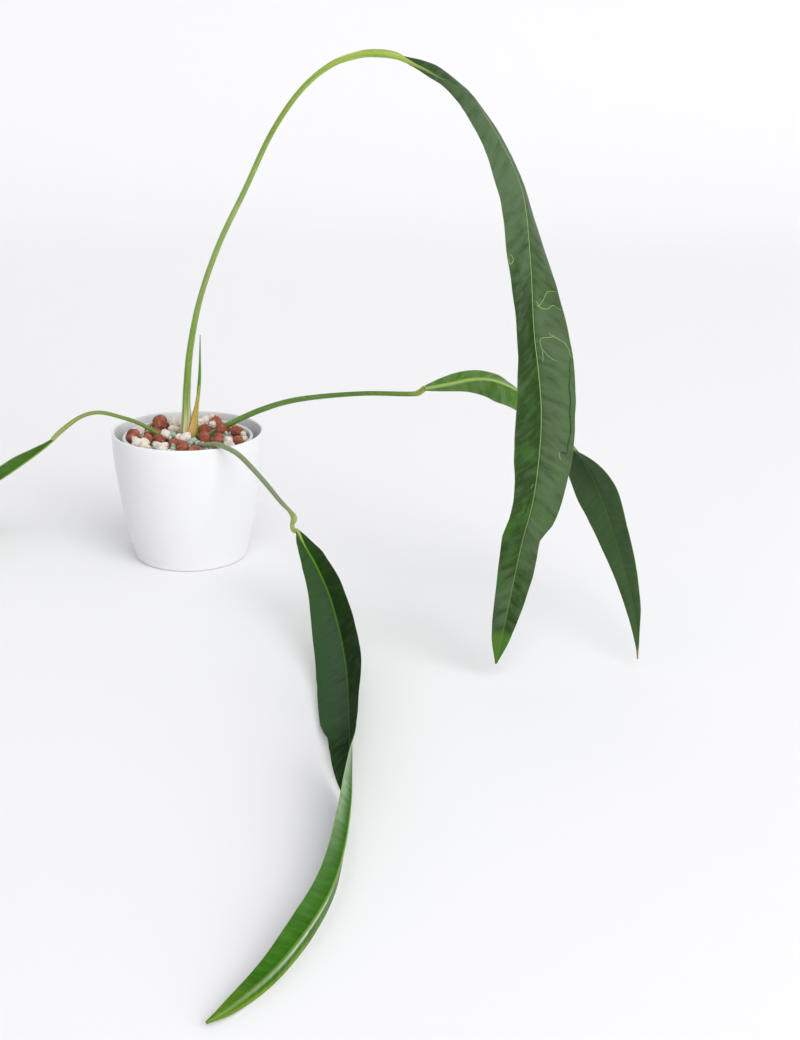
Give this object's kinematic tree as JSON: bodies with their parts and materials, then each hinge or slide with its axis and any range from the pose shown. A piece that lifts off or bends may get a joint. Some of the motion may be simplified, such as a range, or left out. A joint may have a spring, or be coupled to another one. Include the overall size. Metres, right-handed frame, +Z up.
{
  "type": "potted anthurium pallidiflorum",
  "caption": "Potted strap-leaf anthurium: long arching leaves on thin stalks, in loose mineral mix in a tapered white pot.",
  "frame": {"origin": "middle of the outer pot's base, on the surface that it stands on", "axes": "+Z up, -Y towards the front, +X to the right as seen from the front"},
  "size_m": [0.8736, 0.834, 0.5065],
  "materials": {
    "white_plastic": "smooth satin white",
    "clouded_plastic": "thin clouded white",
    "mineral_mix": "rough mix of clay, pumice and zeolite grains",
    "stem_bark": "rough, brown-green",
    "leaf_stalk": "smooth, light green with pale flecks",
    "leaf_blade": "velvety dark green above, glossy mid green below",
    "dry_sheath": "dry, papery, orange to brown",
    "new_leaf": "rolled, dark green",
    "fired_clay": "porous, matt red-brown",
    "pumice": "rough, pitted, off-white",
    "zeolite": "rough, pale mint green"
  },
  "bodies": {
    "root": {"outer_pot": "white_plastic", "grow_pot": "clouded_plastic", "substrate_bed": "mineral_mix", "crown_and_roots": "stem_bark", "petiole_a": "leaf_stalk", "petiole_b": "leaf_stalk", "petiole_c": "leaf_stalk", "petiole_d": "leaf_stalk", "blade_a": "leaf_blade", "blade_b": "leaf_blade", "blade_c": "leaf_blade", "blade_d": "leaf_blade", "sheath": "dry_sheath", "new_leaf_spear": "new_leaf", "clay_ball_01": "fired_clay", "clay_ball_02": "fired_clay", "clay_ball_03": "fired_clay", "clay_ball_04": "fired_clay", "clay_ball_05": "fired_clay", "clay_ball_06": "fired_clay", "clay_ball_07": "fired_clay", "clay_ball_08": "fired_clay", "clay_ball_09": "fired_clay", "clay_ball_10": "fired_clay", "clay_ball_11": "fired_clay", "clay_ball_12": "fired_clay", "clay_ball_13": "fired_clay", "clay_ball_14": "fired_clay", "clay_ball_15": "fired_clay", "clay_ball_16": "fired_clay", "clay_ball_17": "fired_clay", "pumice_lump_01": "pumice", "pumice_lump_02": "pumice", "pumice_lump_03": "pumice", "pumice_lump_04": "pumice", "pumice_lump_05": "pumice", "pumice_lump_06": "pumice", "pumice_lump_07": "pumice", "pumice_lump_08": "pumice", "pumice_lump_09": "pumice", "pumice_lump_10": "pumice", "pumice_lump_11": "pumice", "pumice_lump_12": "pumice", "pumice_lump_13": "pumice", "zeolite_chip_01": "zeolite", "zeolite_chip_02": "zeolite", "zeolite_chip_03": "zeolite", "zeolite_chip_04": "zeolite", "zeolite_chip_05": "zeolite", "zeolite_chip_06": "zeolite", "zeolite_chip_07": "zeolite", "zeolite_chip_08": "zeolite", "zeolite_chip_09": "zeolite", "zeolite_chip_10": "zeolite"}
  },
  "joints": []
}
